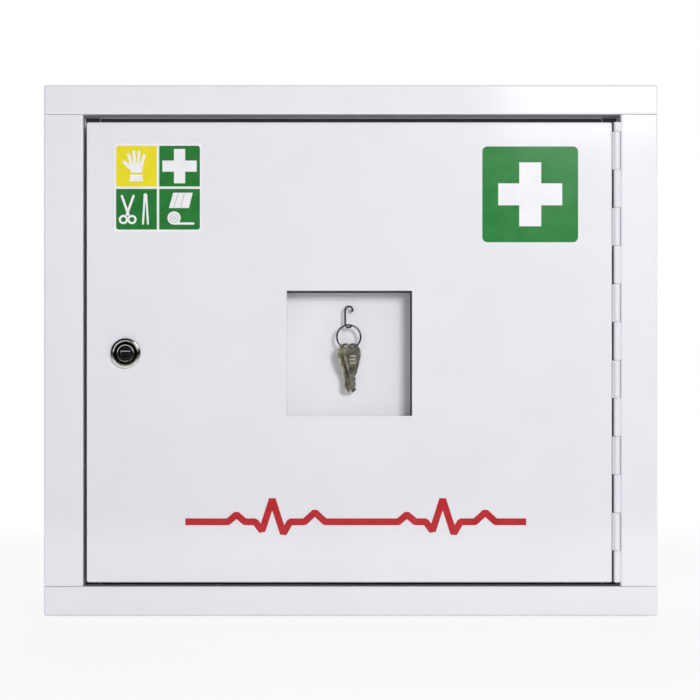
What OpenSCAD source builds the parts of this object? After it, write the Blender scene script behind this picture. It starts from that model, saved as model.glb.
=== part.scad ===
// Lockable wall-hung medicine cabinet in folded sheet steel, with one inset door on a
// continuous hinge and an emergency-key box set into the door.
// Millimetres. X runs to the right, the front faces -Y and +Z is up.
// The origin is the middle of the cabinet's footprint, on the plane of its underside.

/* [Cabinet] */
// Overall width
cabinet_w = 490; // [460:1:560]
// Overall height
cabinet_h = 424; // [410:1:480]
// Depth from the face of the front frame to the back
cabinet_d = 200; // [170:1:260]
// Thickness of the folded sheet
sheet_t = 1; // [0.8:0.1:1.2]
// Height of the frame's top and bottom rails
rail_h = 23.5; // [21:0.5:28]
// Width of the frame's stile on the lock side
stile_w = 31.4; // [28:0.1:36]
// Width of the frame's stile on the hinge side
hinge_stile_w = 29.6; // [27:0.1:34]
// Width of the stop flange that shows behind the door's edge
stop_w = 12; // [10:0.5:14]
// Open width of the seams between the panels
seam = 0.3; // [0.2:0.1:0.6]
// Height of the tongues that lap behind a seam
lap_h = 10; // [6:0.5:14]
// Width of the side panels' flanges behind the back panel's edges
back_flange_w = 16; // [12:1:20]
// Clearance round a tongue or a rack
lap_gap = 2; // [1:0.5:4]

/* [Wall holes] */
// Distance between the wall holes along X
wall_hole_dx = 400; // [340:5:420]
// Distance between the wall holes along Z
wall_hole_dz = 330; // [260:5:340]
// Radius of a wall hole
wall_hole_r = 3; // [2.5:0.5:3.5]

/* [Door] */
// Gap between the door and the lock-side stile
door_gap_side = 2.8; // [2:0.1:4]
// Gap between the door and the top rail
door_gap_top = 6.2; // [3:0.1:7]
// Gap between the door and the bottom rail
door_gap_bottom = 3.2; // [2:0.1:5]
// Depth of the door's folded edges
fold_d = 15; // [13:0.5:18]
// Width of the hem behind the door's folded edges
hem_w = 11; // [9:0.5:13]
// Gap between the door's back and the stop flange
stop_gap = 1.5; // [1.2:0.1:2.5]
// Radius of a rubber buffer
buffer_r = 3.5; // [2.5:0.5:4]
// Air left between a buffer and the closed door
buffer_gap = 0.3; // [0.2:0.1:0.6]
// Distance of the buffers from the ends of the stile
buffer_in = 45; // [30:1:90]

/* [Hinge] */
// Radius of a knuckle
knuckle_r = 2.4; // [2:0.1:2.8]
// Radius of the hinge pin
pin_r = 1.2; // [0.8:0.1:1.4]
// Radial clearance of the pin in the knuckles
pin_fit = 0.05; // [0.02:0.01:0.08]
// Radial clearance of a nut or a screw on its thread
thread_fit = 0.05; // [0.02:0.01:0.1]
// Distance from one knuckle joint to the next
knuckle_pitch = 30.4; // [20:0.1:45]
// Length of the cut knuckle at the top end
knuckle_top = 7.4; // [5:0.1:12]
// Air between neighbouring knuckles
knuckle_gap = 0.3; // [0.2:0.05:0.5]
// Gap between the knuckles and the door's edge, and between the knuckles and the stile
knuckle_side = 0.9; // [0.7:0.1:1.4]
// Distance of the pin's axis in front of the frame's face
pin_out = 0.6; // [0.2:0.1:1]
// Thickness of a hinge leaf
leaf_t = 1; // [0.7:0.1:1.2]
// Width of a hinge leaf behind the knuckles
leaf_w = 12; // [9:0.5:12]
// Distance of the hinge's ends from the door's ends
hinge_in = 0.3; // [0.2:0.1:5]

/* [Key box] */
// Side of the square window in the door
window_s = 100; // [90:1:110]
// Distance of the window's centre to the right of the door's centre
window_side = 0; // [-10:0.1:10]
// Distance of the window's centre above the door's centre
window_up = -0.8; // [-20:0.1:20]
// Depth of the recess behind the door's face
recess_d = 24; // [23:0.5:26]
// How much each wall of the recess leans in towards the back
recess_draft = 0.2; // [0.2:0.2:4]
// Wall thickness of the key box
box_t = 1.2; // [0.8:0.1:1.6]
// Thickness of the clear pane
pane_t = 2; // [1.5:0.5:2]
// How far the pane laps behind the window's edge
pane_lap = 8; // [5:0.5:9]
// Clearance round the pane in its pocket
pane_gap = 0.4; // [0.2:0.1:0.8]
// Width of the key box's flange round the window
flange_w = 20; // [18:0.5:24]
// Distance of the studs outside the window's edge
stud_out = 14; // [13:0.5:15]
// Radius of a stud
stud_r = 2; // [1.5:0.5:2]
// Clearance of a stud in its hole
stud_gap = 0.2; // [0.1:0.05:0.4]
// Width of a stud's nut across the flats
stud_nut_af = 7; // [6:0.5:8]
// Thickness of a stud's nut
stud_nut_t = 3.2; // [2:0.2:4]

/* [Hook and keys] */
// Radius of the hook's wire
hook_wire_r = 0.8; // [0.6:0.1:0.8]
// How much thicker in radius the leg that carries the hook is than its wire
leg_more = 0.15; // [0.1:0.05:0.5]
// Distance of the hook's stem to the left of the window's centre
hook_side = 3; // [1:0.5:6]
// Distance of the hook's stem in front of the back of the recess
hook_out = 7; // [6:0.1:7.5]
// Height of the hook's curl above the window's centre
curl_up = 35.5; // [30:0.5:36]
// Bend radius of the curl at the top of the hook
curl_r = 3; // [2:0.1:4]
// Length of the hook's stem
stem_l = 10.2; // [6:0.1:12]
// Bend radius of the crook that holds the ring
crook_r = 4; // [3.8:0.1:4.5]
// Angle of the crook
crook_turn = 135; // [120:5:140]
// Direction of the crook, turned from +X towards the front
crook_yaw = 45; // [40:5:50]
// Radius of the ring, to the middle of its wire
ring_r = 9.6; // [9.2:0.1:10]
// Radius of the ring's wire
ring_wire_r = 0.8; // [0.6:0.1:0.8]
// Air between the crook and the ring that hangs in it
ring_gap = 0.4; // [0.35:0.05:0.5]
// Thickness of a key
key_t = 1.8; // [1.4:0.1:1.8]
// Radius of a key's bow
bow_r = 9; // [8:0.1:9]
// Radius of the hole in the bow
bow_hole_r = 3.6; // [3.6:0.1:4]
// Distance from the hole's centre up to the top of the bow
bow_top = 5.4; // [5.2:0.1:6]
// Length from the hole's centre to the blade's shoulder
shoulder_l = 19; // [16:0.5:22]
// Half width of the bow at the shoulder
shoulder_w = 4; // [3.6:0.1:4.5]
// Length of the blade
blade_l = 15.4; // [12:0.2:18]
// Width of the blade
blade_w = 6.4; // [5.5:0.1:7]
// Depth of the first, third and fifth cut in the blade
cut_deep = 1.8; // [1:0.1:2]
// Depth of the second and fourth cut in the blade
cut_shallow = 1; // [0.6:0.1:1.4]
// Angle that the keys are turned from facing the front
key_yaw = 45; // [45:1:55]
// Angle of each key round the ring from its lowest point
key_spread = 18; // [17:0.5:19]
// Angle that the left key leans
key_lean = 4; // [0:1:4]
// Angle below level at which a key's flanks leave its bow
key_flank = 20; // [10:1:30]
// Distance from the top of a key's hole down to the ring's wire, which crosses it askew
key_drop = 1.5; // [1.5:0.1:2]

/* [Lock] */
// Distance of the lock's centre from the door's free edge
lock_backset = 31.2; // [28:0.1:40]
// Outer radius of the lock's bezel
bezel_r = 12.2; // [11:0.1:14]
// Distance that the bezel stands in front of the door
bezel_h = 3; // [2.6:0.1:4]
// Radius of the threaded barrel
barrel_r = 8; // [7.5:0.1:9]
// Clearance of the barrel in the door
barrel_gap = 0.1; // [0.05:0.05:0.3]
// Radius of the plug
plug_r = 6; // [5.5:0.1:6.2]
// Radial clearance of the plug in the barrel
plug_fit = 0.05; // [0.02:0.01:0.08]
// Distance of the plug's face behind the bezel's face
plug_in = 0.7; // [0.4:0.1:1.2]
// Width of the keyway
keyway_w = 7; // [6:0.1:8]
// Height of the keyway
keyway_h = 2.1; // [1.8:0.1:2.6]
// Depth of the keyway
keyway_d = 12; // [8:1:14]
// Width of the lock nut across the flats
lock_nut_af = 21; // [20:0.5:24]
// Thickness of the lock nut
lock_nut_t = 4; // [3:0.5:5]
// Side of the square shank behind the plug
shank_s = 6.4; // [6:0.1:7]
// Clearance of the shank in the cam
shank_gap = 0.1; // [0.05:0.05:0.2]
// Thickness of the cam
cam_t = 2; // [1.5:0.1:3]
// Width of the cam
cam_w = 14; // [12:0.5:16]
// Lap of the thrown cam behind the stop flange, from its free edge
cam_lap = 9; // [5:0.5:11]
// Gap between the cam and the stop flange
cam_gap = 0.5; // [0.4:0.1:1]
// Radius of the cam screw's thread
cam_screw_r = 2; // [1.5:0.1:2.2]
// Radius of the cam screw's head
cam_screw_head_r = 4.2; // [4:0.1:5]
// Thickness of the cam screw's head
cam_screw_head_t = 2.4; // [1.8:0.1:3]
// Length of the cam screw's thread
cam_screw_l = 6; // [4:0.5:7]

/* [Shelves] */
// Width of a shelf rack
rack_w = 20; // [16:0.5:24]
// Distance that a rack stands off the side panel
rack_out = 6; // [5:0.5:8]
// Sheet thickness of a rack
rack_t = 1; // [0.8:0.1:1.2]
// Distance of the front racks behind the frame's face
rack_front = 64; // [58:1:70]
// Distance of the back racks in front of the back
rack_back = 38; // [32:1:44]
// Distance from one slot to the next
slot_pitch = 25; // [20:1:32]
// Width of a slot
slot_w = 4; // [3:0.1:5]
// Height of a slot
slot_h = 8; // [7:0.5:10]
// Distance of the first slot above the rack's lower end
slot_first = 13; // [10:0.5:16]
// Slot that carries the lower shelf, counted from 0 at the bottom
lower_slot = 4; // [2:1:5]
// Slot that carries the upper shelf
upper_slot = 9; // [7:1:10]
// Sheet thickness of a shelf clip
clip_t = 1.2; // [0.8:0.1:1.4]
// Width of a shelf clip
clip_w = 14; // [10:0.5:16]
// Length of the ledge that carries the shelf
clip_out = 9; // [7:0.5:12]
// Distance from the slot's centre up to the ledge
clip_seat = 6; // [5.5:0.1:8]
// Air round the clip's tongue in its slot
clip_gap = 0.2; // [0.1:0.05:0.4]
// Distance of the shelf's front edge behind the frame's face
shelf_front = 34; // [32:1:40]
// Gap behind the shelf
shelf_back_gap = 8; // [5:1:12]
// Gap between the shelf and the racks
shelf_side_gap = 1; // [0.5:0.1:2]
// Depth of the shelf's folded lips
shelf_lip = 15; // [10:1:20]

/* [Labels] */
// Thickness of a label
label_t = 0.2; // [0.1:0.05:0.3]
// Side of the first-aid sign
sign_s = 76.4; // [60:0.1:90]
// Corner radius of the first-aid sign
sign_corner = 4; // [2:0.5:8]
// Distance of the sign from the door's hinge edge
sign_in = 27.4; // [20:0.1:40]
// Distance of the sign from the door's top edge
sign_down = 19.6; // [15:0.1:40]
// Width of the contents label
contents_w = 70.4; // [55:0.1:80]
// Height of the contents label
contents_h = 71; // [55:0.1:80]
// Distance of the contents label from the door's free edge
contents_in = 21.8; // [15:0.1:40]
// Distance of the contents label from the door's top edge
contents_down = 17; // [15:0.1:40]
// Length of one beat of the pulse line
beat_l = 136; // [110:1:150]
// Height of the pulse line's tall peak above its level stretch
beat_up = 18; // [12:0.5:22]
// Stroke width of the pulse line
pulse_w = 5.5; // [3:0.5:6]
// Distance of the pulse line's centre to the right of the door's centre
pulse_side = 5; // [-20:0.5:20]
// Height of the pulse line's level stretch above the door's lower edge
pulse_up = 48.5; // [35:0.5:60]

/* [Hidden] */
// Smoothness of round forms
$fn = 64;

// Overshoot of a cutting block past the surface it cuts
over = 1;

// The box of the whole cabinet is centred on Y, with what stands in front of the frame.
proud = max(bezel_h, pin_out + knuckle_r);
front_y = (proud - cabinet_d) / 2;
back_y = front_y + cabinet_d;
half_w = cabinet_w / 2;

// Frame opening and the stop behind the door
lip_d = fold_d + stop_gap + sheet_t;
left_in = stile_w - half_w;
right_in = half_w - hinge_stile_w;
side_z = [rail_h + seam, cabinet_h - rail_h - seam];
lap_y = [front_y + lip_d + lap_gap, back_y - 2 * sheet_t - lap_gap];
buffer_t = stop_gap - buffer_gap;

// Hinge
leaf_side = knuckle_r + knuckle_side;
pin_x = right_in - leaf_side;
pin_y = front_y - pin_out;
leaf_y = [front_y + knuckle_r - pin_out + knuckle_gap, front_y + knuckle_r - pin_out + knuckle_gap + leaf_w];

// Door
door_x = [left_in + door_gap_side, pin_x - leaf_side];
door_z = [rail_h + door_gap_bottom, cabinet_h - rail_h - door_gap_top];
door_back = front_y + fold_d;
hinge_z = [door_z[0] + hinge_in, door_z[1] - hinge_in];

// Key box
box_x = (door_x[0] + door_x[1]) / 2 + window_side;
box_z = (door_z[0] + door_z[1]) / 2 + window_up;
window_h = window_s / 2;
box_front = front_y + sheet_t;
tray_front = box_front + pane_t;
recess_back = front_y + recess_d;
stud_c = window_h + stud_out;

// Hook and keys: the crook's lowest point carries the ring
hook_x = box_x - hook_side;
hook_y = recess_back - hook_out;
leg_r = hook_wire_r + leg_more;
curl_z = box_z + curl_up;
crook_z = curl_z - stem_l;
crook_low = [hook_x + crook_r * cos(crook_yaw), hook_y - crook_r * sin(crook_yaw), crook_z - crook_r];
ring_c = crook_low + [0, 0, hook_wire_r + ring_gap + ring_wire_r - ring_r];

// Lock
lock_x = door_x[0] + lock_backset;
lock_z = box_z;
cam_front = lip_d + cam_gap;
cam_reach = lock_x - (left_in + stop_w) + cam_lap;

// Shelf racks and shelves
rack_z = [rail_h + lap_h + lap_gap, cabinet_h - rail_h - lap_h - lap_gap];
slot_count = floor((rack_z[1] - rack_z[0] - 2 * slot_first) / slot_pitch) + 1;
rack_ys = [front_y + rack_front, back_y - rack_back];
rack_face = half_w - sheet_t - rack_out;
shelf_x = rack_face - shelf_side_gap;
shelf_y = [front_y + shelf_front, back_y - sheet_t - shelf_back_gap];
shelf_under_z = [for (k = [lower_slot, upper_slot]) slot_z(k) + clip_seat];

function slot_z(k) = rack_z[0] + slot_first + k * slot_pitch;

// Joints between the hinge's knuckles
joint_count = floor((hinge_z[1] - knuckle_top - hinge_z[0] - 2 * knuckle_gap) / knuckle_pitch) + 1;

// Level of the joint below knuckle k, counted down from the top end
function joint_z(k) = hinge_z[1] - knuckle_top - k * knuckle_pitch;

// Shape of one beat, as shares of its length and of its tall peak
beat = [[0, 0], [0.25, 0], [0.3, 0.32], [0.35, 0], [0.41, 0], [0.45, -0.4], [0.51, 1], [0.575, -0.52],
        [0.615, 0], [0.7, 0], [0.76, 0.42], [0.82, 0], [1, 0]];

// A block between two values on each axis
module block(x, y, z) {
    translate([x[0], y[0], z[0]]) cube([x[1] - x[0], y[1] - y[0], z[1] - z[0]]);
}

// A round bar along Y between two values, centred on x and z
module round_y(x, z, y, r) {
    translate([x, y[0], z]) rotate([-90, 0, 0]) cylinder(r = r, h = y[1] - y[0]);
}

// A hexagonal nut with a bore, along Y from y, centred on x and z
module nut_y(x, z, y, flats, thick, bore_r) {
    translate([x, y, z]) rotate([-90, 0, 0]) difference() {
        cylinder(r = flats / 2 / cos(30), h = thick, $fn = 6);
        translate([0, 0, -over]) cylinder(r = bore_r, h = thick + 2 * over);
    }
}

module both_sides() {
    children();
    mirror([1, 0, 0]) children();
}

// Top or bottom pan: a web with four flanges, a lip round the front opening and a stop flange
module cap() {
    block([-half_w, half_w], [front_y, back_y], [0, sheet_t]);
    block([-half_w, half_w], [front_y, front_y + sheet_t], [0, rail_h]);
    block([-half_w, half_w], [back_y - sheet_t, back_y], [0, rail_h]);
    both_sides() block([-half_w, sheet_t - half_w], [front_y, back_y], [0, rail_h]);
    block([-half_w, half_w], [front_y, front_y + lip_d], [rail_h - sheet_t, rail_h]);
    block([left_in + stop_w + seam, right_in - stop_w - seam], [front_y + lip_d - sheet_t, front_y + lip_d],
          [rail_h - sheet_t, rail_h + stop_w]);
}

module bottom_panel() {
    color("whitesmoke") cap();
}

module top_panel() {
    color("whitesmoke") translate([0, 0, cabinet_h]) mirror([0, 0, 1]) cap();
}

// Left side panel with its stile, lip, stop flange and back flange. The right one is mirrored.
module side_panel(stile) {
    inner = stile - half_w;
    block([-half_w, sheet_t - half_w], [front_y, back_y], side_z);
    block([-half_w, inner], [front_y, front_y + sheet_t], side_z);
    block([inner - sheet_t, inner], [front_y, front_y + lip_d], side_z);
    block([inner - sheet_t, inner + stop_w], [front_y + lip_d - sheet_t, front_y + lip_d], side_z);
    block([-half_w, back_flange_w - half_w], [back_y - 2 * sheet_t, back_y - sheet_t], side_z);
    for (z = [rail_h, cabinet_h - rail_h])
        block([sheet_t - half_w, 2 * sheet_t - half_w], lap_y, [z - lap_h, z + lap_h]);
}

module left_side_panel() {
    color("whitesmoke") side_panel(stile_w);
}

module right_side_panel() {
    color("whitesmoke") mirror([1, 0, 0]) side_panel(hinge_stile_w);
}

// Back panel between the pans, with tongues that lap inside their back flanges
module back_panel() {
    lap_x = half_w - back_flange_w - lap_gap;
    color("whitesmoke") difference() {
        union() {
            block([sheet_t - half_w, half_w - sheet_t], [back_y - sheet_t, back_y], side_z);
            for (z = [rail_h, cabinet_h - rail_h])
                block([-lap_x, lap_x], [back_y - 2 * sheet_t, back_y - sheet_t], [z - lap_h, z + lap_h]);
        }
        for (x = [-1, 1], z = [-1, 1])
            round_y(x * wall_hole_dx / 2, (cabinet_h + z * wall_hole_dz) / 2,
                    [back_y - 2 * sheet_t - over, back_y + over], wall_hole_r);
    }
}

// Slotted rack on the left side panel's inner face
module rack(y) {
    wall = sheet_t - half_w;
    difference() {
        block([wall, wall + rack_out], [y - rack_w / 2, y + rack_w / 2], rack_z);
        block([wall - over, wall + rack_out - rack_t], [y - rack_w / 2 + rack_t, y + rack_w / 2 - rack_t],
              [rack_z[0] - over, rack_z[1] + over]);
        for (k = [0 : slot_count - 1])
            block([wall, wall + rack_out + over], [y - slot_w / 2, y + slot_w / 2],
                  [slot_z(k) - slot_h / 2, slot_z(k) + slot_h / 2]);
    }
}

module left_front_rack() {
    color("gainsboro") rack(rack_ys[0]);
}

module left_back_rack() {
    color("gainsboro") rack(rack_ys[1]);
}

module right_front_rack() {
    color("gainsboro") mirror([1, 0, 0]) rack(rack_ys[0]);
}

module right_back_rack() {
    color("gainsboro") mirror([1, 0, 0]) rack(rack_ys[1]);
}

// Clip on a left rack: a plate on its face, a ledge, and a tongue that hooks down behind the slot
module shelf_clip(y, k) {
    tongue_z = slot_z(k) - slot_h / 2 + clip_gap;
    tongue_y = slot_w / 2 - clip_gap;
    behind = -rack_face - rack_t - clip_gap;
    seat_z = slot_z(k) + clip_seat;
    block([-rack_face, clip_t - rack_face], [y - clip_w / 2, y + clip_w / 2], [tongue_z - slot_h / 2, seat_z]);
    block([-rack_face, clip_out - rack_face], [y - clip_w / 2, y + clip_w / 2], [seat_z - clip_t, seat_z]);
    block([behind - clip_t, clip_t - rack_face], [y - tongue_y, y + tongue_y], [tongue_z, tongue_z + 2 * clip_t]);
    block([behind - clip_t, behind], [y - tongue_y, y + tongue_y], [tongue_z - slot_h / 2, tongue_z + 2 * clip_t]);
}

module shelf_clips() {
    color("silver") both_sides() for (y = rack_ys, k = [lower_slot, upper_slot]) shelf_clip(y, k);
}

// Shelf with folded lips at the front and back, and a hem under the front lip
module shelf(z) {
    x = [-shelf_x, shelf_x];
    block(x, shelf_y, [z, z + sheet_t]);
    block(x, [shelf_y[0], shelf_y[0] + sheet_t], [z - shelf_lip, z + sheet_t]);
    block(x, [shelf_y[1] - sheet_t, shelf_y[1]], [z - shelf_lip, z + sheet_t]);
    block(x, [shelf_y[0], shelf_y[0] + hem_w], [z - shelf_lip, z - shelf_lip + sheet_t]);
}

module lower_shelf() {
    color("white") shelf(shelf_under_z[0]);
}

module upper_shelf() {
    color("white") shelf(shelf_under_z[1]);
}

// Rubber buffers on the lock-side stop flange, where the door's hem meets it
module door_buffers() {
    x = (door_x[0] + left_in + stop_w) / 2;
    color("dimgray") for (z = [side_z[0] + buffer_in, side_z[1] - buffer_in])
        round_y(x, z, [door_back + buffer_gap, door_back + stop_gap], buffer_r);
}

// One knuckle of the hinge round the pin's axis, without its bore
module knuckle(z) {
    translate([pin_x, pin_y, z[0]]) cylinder(r = knuckle_r, h = z[1] - z[0]);
}

// Half of the hinge: a leaf on one side of the axis (side -1 for the door, 1 for the frame),
// with every second knuckle, starting from knuckle first
module hinge_half(side, first) {
    near = pin_x + side * (leaf_side - leaf_t);
    far = pin_x + side * leaf_side;
    leaf_x = [min(near, far), max(near, far)];
    tab_in = pin_x + side * (knuckle_r - leaf_t);
    tab_x = [min(tab_in, far), max(tab_in, far)];
    joints = [hinge_z[1], for (k = [0 : joint_count - 1]) joint_z(k), hinge_z[0]];
    difference() {
        union() {
            block(leaf_x, leaf_y, hinge_z);
            for (i = [first : 2 : len(joints) - 2]) {
                z = [joints[i + 1] + knuckle_gap / 2, joints[i] - knuckle_gap / 2];
                knuckle(z);
                block(tab_x, [pin_y, leaf_y[0] + over], z);
            }
        }
        translate([pin_x, pin_y, hinge_z[0] - over])
            cylinder(r = pin_r + pin_fit, h = hinge_z[1] - hinge_z[0] + 2 * over);
    }
}

module hinge_frame_leaf() {
    color("whitesmoke") hinge_half(1, 0);
}

module hinge_door_leaf() {
    color("whitesmoke") hinge_half(-1, 1);
}

module hinge_pin() {
    color("silver") translate([pin_x, pin_y, hinge_z[0]]) cylinder(r = pin_r, h = hinge_z[1] - hinge_z[0]);
}

// Door: a skin with folded edges and hems, the window and the lock's hole
module door_panel() {
    color("white") difference() {
        block(door_x, [front_y, door_back], door_z);
        block([door_x[0] + sheet_t, door_x[1] - sheet_t], [front_y + sheet_t, door_back - sheet_t],
              [door_z[0] + sheet_t, door_z[1] - sheet_t]);
        block([door_x[0] + hem_w, door_x[1] - hem_w], [door_back - sheet_t - over, door_back + over],
              [door_z[0] + hem_w, door_z[1] - hem_w]);
        block([box_x - window_h, box_x + window_h], [front_y - over, front_y + sheet_t + over],
              [box_z - window_h, box_z + window_h]);
        round_y(lock_x, lock_z, [front_y - over, front_y + sheet_t + over], barrel_r + barrel_gap);
    }
}

// Square frustum along Y about the window's centre, with half sides h0 at y0 and h1 at y1
module square_taper(y0, y1, h0, h1) {
    side = [[-h0, y0], [h0, y0], [h1, y1], [-h1, y1]];
    long = 4 * max(h0, h1);
    translate([box_x, 0, box_z]) intersection() {
        linear_extrude(long, center = true) polygon(side);
        rotate([0, 90, 0]) linear_extrude(long, center = true) polygon(side);
    }
}

// Key box: a tray with leaning walls, and a flange with a pocket for the pane
module key_box() {
    flange = window_h + flange_w;
    pocket = window_h + pane_lap + pane_gap;
    lean = recess_draft / (recess_back - tray_front);
    color("ghostwhite") difference() {
        union() {
            block([box_x - flange, box_x + flange], [box_front, tray_front + box_t],
                  [box_z - flange, box_z + flange]);
            square_taper(tray_front, recess_back + box_t, window_h + box_t,
                         window_h + box_t - lean * (recess_back + box_t - tray_front));
        }
        square_taper(tray_front - over, recess_back, window_h + lean * over, window_h - recess_draft);
        block([box_x - pocket, box_x + pocket], [box_front - over, tray_front], [box_z - pocket, box_z + pocket]);
        for (x = [-1, 1], z = [-1, 1])
            round_y(box_x + x * stud_c, box_z + z * stud_c, [box_front - over, tray_front + box_t + over],
                    stud_r + stud_gap);
    }
}

module key_pane() {
    half = window_h + pane_lap;
    color([0.8, 0.9, 0.95, 0.3])
        block([box_x - half, box_x + half], [box_front, tray_front], [box_z - half, box_z + half]);
}

module key_box_studs() {
    end_y = tray_front + box_t + stud_nut_t + stud_r;
    color("silver") for (x = [-1, 1], z = [-1, 1])
        round_y(box_x + x * stud_c, box_z + z * stud_c, [box_front, end_y], stud_r);
}

module key_box_nuts() {
    color("silver") for (x = [-1, 1], z = [-1, 1])
        nut_y(box_x + x * stud_c, box_z + z * stud_c, tray_front + box_t, stud_nut_af, stud_nut_t,
              stud_r + thread_fit);
}

// Bent wire in the XY plane: an arc of turn degrees from +X about the origin, under 180 degrees
module wire_arc(bend_r, turn) {
    far = 4 * bend_r;
    intersection() {
        rotate_extrude() translate([bend_r, 0]) circle(r = hook_wire_r);
        translate([0, 0, -bend_r]) linear_extrude(2 * bend_r)
            polygon([[0, 0], [far, 0], [far, far], [0, far], far * [cos(turn), sin(turn)]]);
    }
}

// Wire hook: a leg out of the recess's back, a curl, a stem and a crook turned to the front
module key_hook() {
    leg_x = hook_x + 2 * curl_r;
    color("dimgray") {
        round_y(leg_x, curl_z, [hook_y - leg_r, recess_back], leg_r);
        translate([hook_x + curl_r, hook_y, curl_z]) rotate([90, 0, 0]) wire_arc(curl_r, 180);
        translate([hook_x, hook_y, crook_z]) cylinder(r = hook_wire_r, h = stem_l);
        translate([hook_x, hook_y, crook_z]) rotate([0, 0, -crook_yaw]) translate([crook_r, 0, 0])
            rotate([90, 0, 0]) rotate([0, 0, 180]) wire_arc(crook_r, crook_turn);
    }
}

module key_ring() {
    color("lightsteelblue") translate(ring_c) rotate([90, 0, 0])
        rotate_extrude() translate([ring_r, 0]) circle(r = ring_wire_r);
}

// Flat key in the XZ plane, hanging from its hole's centre at the origin
module flat_key() {
    bow_c = bow_top - bow_r;
    tip = shoulder_l + blade_l;
    cuts = [cut_deep, cut_shallow, cut_deep, cut_shallow, cut_deep];
    step = blade_l / (len(cuts) + 2);
    rotate([90, 0, 0]) translate([0, 0, -key_t / 2]) difference() {
        union() {
            translate([0, bow_c, 0]) cylinder(r = bow_r, h = key_t);
            linear_extrude(key_t) polygon([
                [-bow_r * cos(key_flank), bow_c - bow_r * sin(key_flank)], [-shoulder_w, -shoulder_l],
                [shoulder_w, -shoulder_l], [bow_r * cos(key_flank), bow_c - bow_r * sin(key_flank)]]);
            linear_extrude(key_t) polygon([
                [-blade_w / 2, over - shoulder_l], [-blade_w / 2, blade_w / 3 - tip], [0, -tip],
                [blade_w / 2, blade_w / 3 - tip], [blade_w / 2, over - shoulder_l]]);
        }
        translate([0, 0, -over]) cylinder(r = bow_hole_r, h = key_t + 2 * over);
        for (i = [0 : len(cuts) - 1])
            translate([blade_w / 2, -shoulder_l - (i + 1) * step, -over]) linear_extrude(key_t + 2 * over)
                polygon([[-cuts[i], 0], [over, step / 2 + over / 2], [over, -step / 2 - over / 2]]);
    }
}

// A key on the ring's wire, at an angle round the ring from its lowest point
module hung_key(angle, lean) {
    translate(ring_c + ring_r * [sin(angle), 0, -cos(angle)]) rotate([0, lean, 0])
        translate([0, 0, key_drop + ring_wire_r - bow_hole_r]) rotate([0, 0, key_yaw]) flat_key();
}

module left_key() {
    color("tan") hung_key(-key_spread, -key_lean);
}

module right_key() {
    color("tan") hung_key(key_spread, 0);
}

// Frame of the lock: z is the distance in front of the door's face
module at_lock() {
    translate([lock_x, front_y, lock_z]) rotate([90, 0, 0]) children();
}

// Barrel and bezel. The bezel's section steps in by sixths: a round shoulder, a land, a groove and a rim.
module lock_housing() {
    bore = plug_r + plug_fit;
    rear = cam_gap - cam_front;
    ring_w = (bezel_r - bore) / 6;
    color("dimgray") at_lock() rotate_extrude() polygon([
        [bore, rear], [barrel_r, rear], [barrel_r, 0], [bezel_r, 0], [bezel_r, bezel_h * 0.4],
        [bezel_r - ring_w, bezel_h * 0.8], [bezel_r - 2 * ring_w, bezel_h], [bezel_r - 3 * ring_w, bezel_h],
        [bezel_r - 3.6 * ring_w, bezel_h - plug_in], [bezel_r - 4.8 * ring_w, bezel_h - plug_in],
        [bore + 0.6 * ring_w, bezel_h], [bore, bezel_h - plug_in / 2]]);
}

module lock_nut() {
    color("silver") nut_y(lock_x, lock_z, front_y + sheet_t, lock_nut_af, lock_nut_t, barrel_r + thread_fit);
}

// Plug with its keyway, a square shank for the cam and a tapped hole for the cam screw
module lock_plug() {
    face = bezel_h - plug_in;
    color("gray") at_lock() difference() {
        union() {
            translate([0, 0, -cam_front]) cylinder(r = plug_r, h = cam_front + face);
            translate([-shank_s / 2, -shank_s / 2, -cam_front - cam_t]) cube([shank_s, shank_s, cam_t + over]);
        }
        translate([-keyway_w / 2, -keyway_h / 2, face - keyway_d]) cube([keyway_w, keyway_h, keyway_d + over]);
        translate([0, 0, -cam_front - cam_t - over]) cylinder(r = cam_screw_r + thread_fit, h = cam_screw_l + over);
    }
}

// Cam, pointing up while the lock is open
module lock_cam() {
    hole = shank_s / 2 + shank_gap;
    color("silver") at_lock() translate([0, 0, -cam_front - cam_t]) difference() {
        union() {
            cylinder(r = cam_w / 2, h = cam_t);
            translate([-cam_w / 2, 0, 0]) cube([cam_w, cam_reach, cam_t]);
        }
        translate([-hole, -hole, -over]) cube([2 * hole, 2 * hole, cam_t + 2 * over]);
    }
}

module cam_screw() {
    rear = -cam_front - cam_t;
    color("silver") at_lock() {
        translate([0, 0, rear - cam_screw_head_t]) cylinder(r = cam_screw_head_r, h = cam_screw_head_t);
        translate([0, 0, rear - over]) cylinder(r = cam_screw_r, h = cam_screw_l + over - shank_gap);
    }
}

// Square sign with rounded corners
module first_aid_sign() {
    x = [door_x[1] - sign_in - sign_s, door_x[1] - sign_in];
    z = [door_z[1] - sign_down - sign_s, door_z[1] - sign_down];
    y = [front_y - label_t, front_y];
    color("seagreen") {
        block([x[0] + sign_corner, x[1] - sign_corner], y, z);
        block(x, y, [z[0] + sign_corner, z[1] - sign_corner]);
        for (cx = [x[0] + sign_corner, x[1] - sign_corner], cz = [z[0] + sign_corner, z[1] - sign_corner])
            round_y(cx, cz, y, sign_corner);
    }
}

module contents_label() {
    x = door_x[0] + contents_in;
    z = door_z[1] - contents_down;
    color("gold") block([x, x + contents_w], [front_y - label_t, front_y], [z - contents_h, z]);
}

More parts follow.
